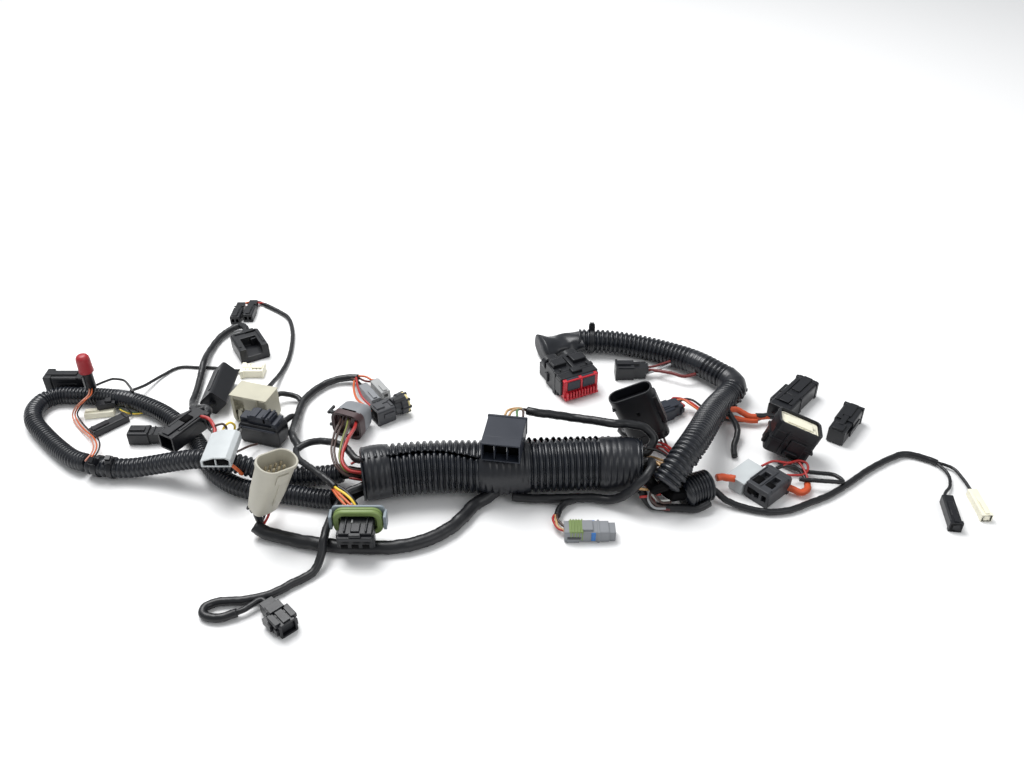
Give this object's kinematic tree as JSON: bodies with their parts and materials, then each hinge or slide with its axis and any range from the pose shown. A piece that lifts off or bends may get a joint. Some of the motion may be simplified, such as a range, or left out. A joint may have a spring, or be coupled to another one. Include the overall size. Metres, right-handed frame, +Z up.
{
  "type": "wiring harness",
  "caption": "Vehicle wiring harness: a wide split conduit with narrower ribbed conduits at both ends and taped leads that end in black, gray, ivory and red connectors.",
  "frame": {"origin": "on the bench, under the middle of the conduits and connectors", "axes": "+X to the right along the trunk, +Y to the back, +Z up from the bench"},
  "size_m": [0.7087, 0.3918, 0.0642],
  "materials": {
    "black_conduit": "satin polyethylene, ribbed",
    "black_tape": "black harness tape",
    "lead_tape": "black vinyl tape over wires",
    "coloured_wire": "coloured wire insulation",
    "black_plastic": "moulded black plastic",
    "dark_gray_plastic": "moulded dark gray plastic",
    "gray_plastic": "moulded gray plastic",
    "stone_plastic": "moulded beige-gray plastic",
    "light_gray_plastic": "moulded light gray plastic",
    "silver_plastic": "moulded silver-gray plastic",
    "ivory_plastic": "moulded ivory plastic",
    "red_plastic": "moulded red plastic",
    "green_seal_rubber": "green silicone seal"
  },
  "bodies": {
    "root": {"trunk_conduit": "black_conduit", "trunk_tape_left": "black_tape", "trunk_tape_middle": "black_tape", "trunk_tape_right": "black_tape", "trunk_wire_bundle": "coloured_wire", "loop_far_conduit": "black_conduit", "loop_near_conduit": "black_conduit", "loop_corner_tape": "black_tape", "right_conduit": "black_conduit", "short_conduit": "black_conduit", "loop_plug": "black_plastic", "capped_tube": "black_plastic", "red_cap": "red_plastic", "ivory_tab_connector": "ivory_plastic", "black_tab_connector": "black_plastic", "left_plug": "black_plastic", "pair_socket": "black_plastic", "silver_connector": "silver_plastic", "ivory_block": "stone_plastic", "sealed_block": "black_plastic", "box_connector": "black_plastic", "ivory_rear_connector": "ivory_plastic", "hood_connector": "black_plastic", "twin_connector_left": "black_plastic", "twin_connector_right": "black_plastic", "wedge_connector": "black_plastic", "small_gray_connector": "light_gray_plastic", "long_gray_connector": "gray_plastic", "open_gray_connector": "dark_gray_plastic", "round_connector": "black_plastic", "gray_receptacle": "stone_plastic", "green_seal_connector": "black_plastic", "green_seal": "green_seal_rubber", "sensor_connector": "black_plastic", "four_way_connector": "gray_plastic", "relay_socket": "black_plastic", "controller_shell": "black_plastic", "controller_face": "red_plastic", "flat_receptacle": "black_plastic", "back_connector": "black_plastic", "dark_gray_connector": "dark_gray_plastic", "long_black_connector": "black_plastic", "square_black_connector": "black_plastic", "square_insert": "ivory_plastic", "right_black_connector": "black_plastic", "windowed_gray_connector": "dark_gray_plastic", "banded_connector": "silver_plastic", "tail_gray_connector": "gray_plastic", "tail_ivory_connector": "ivory_plastic", "left_mouth_leads": "lead_tape", "front_lead": "lead_tape", "loop_branch_leads": "lead_tape", "hood_lead": "lead_tape", "twin_lead": "lead_tape", "right_mouth_leads": "lead_tape", "short_mouth_leads": "lead_tape", "right_branch_leads": "lead_tape", "right_bend_leads": "lead_tape", "right_sleeve": "black_tape", "square_wires": "lead_tape"}
  },
  "joints": []
}
